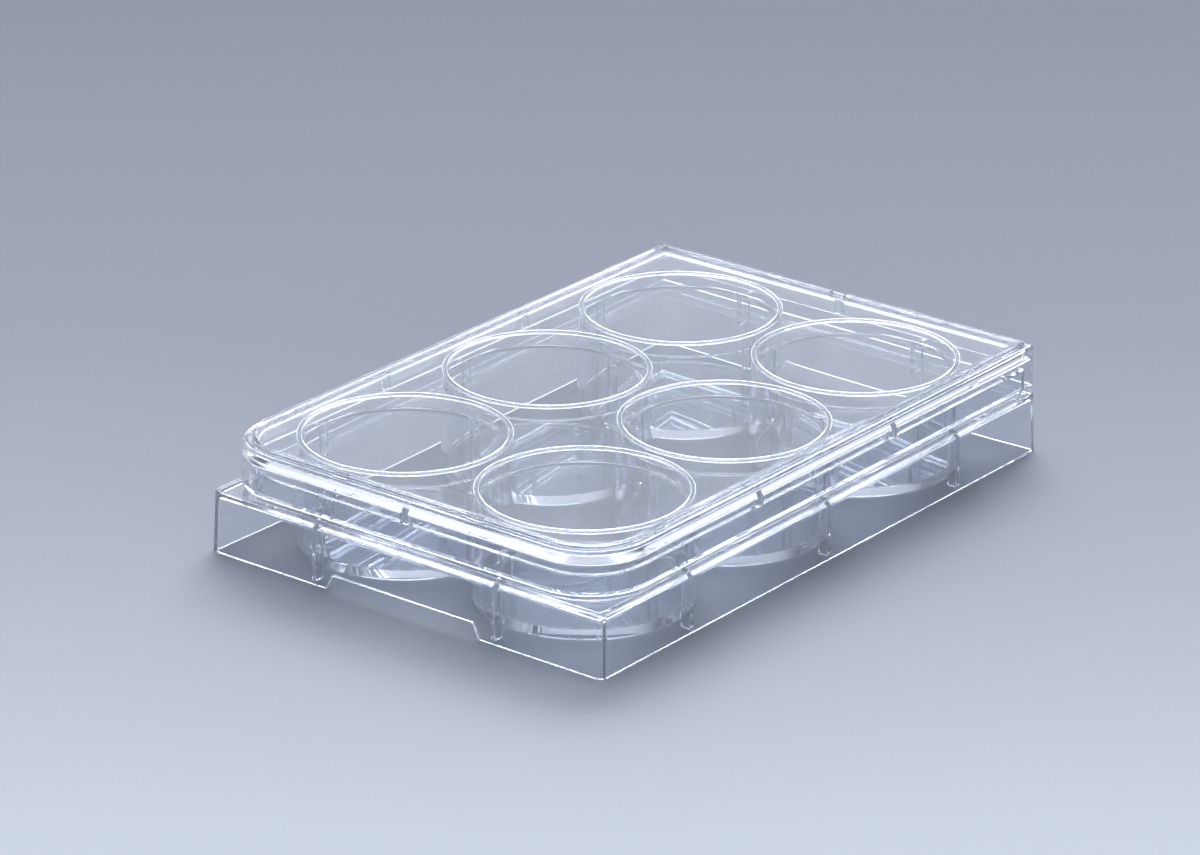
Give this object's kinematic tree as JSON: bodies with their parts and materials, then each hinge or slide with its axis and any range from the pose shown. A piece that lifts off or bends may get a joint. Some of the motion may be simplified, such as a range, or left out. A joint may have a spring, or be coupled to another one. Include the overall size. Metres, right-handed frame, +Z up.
{
  "type": "well plate",
  "caption": "Shallow clear plastic culture plate with large round flat-bottomed wells in a rectangular skirted frame, under a loose clear lid.",
  "frame": {"origin": "centre of the footprint, on the surface that the plate stands on", "axes": "+X along the long side, towards the end with square upper corners; +Y along the short side; +Z up, out of the wells"},
  "size_m": [0.1278, 0.0854, 0.0212],
  "materials": {
    "clear_plate": "clear, gloss",
    "clear_lid": "clear, gloss"
  },
  "bodies": {
    "root": {"plate": "clear_plate", "lid": "clear_lid"}
  },
  "joints": []
}
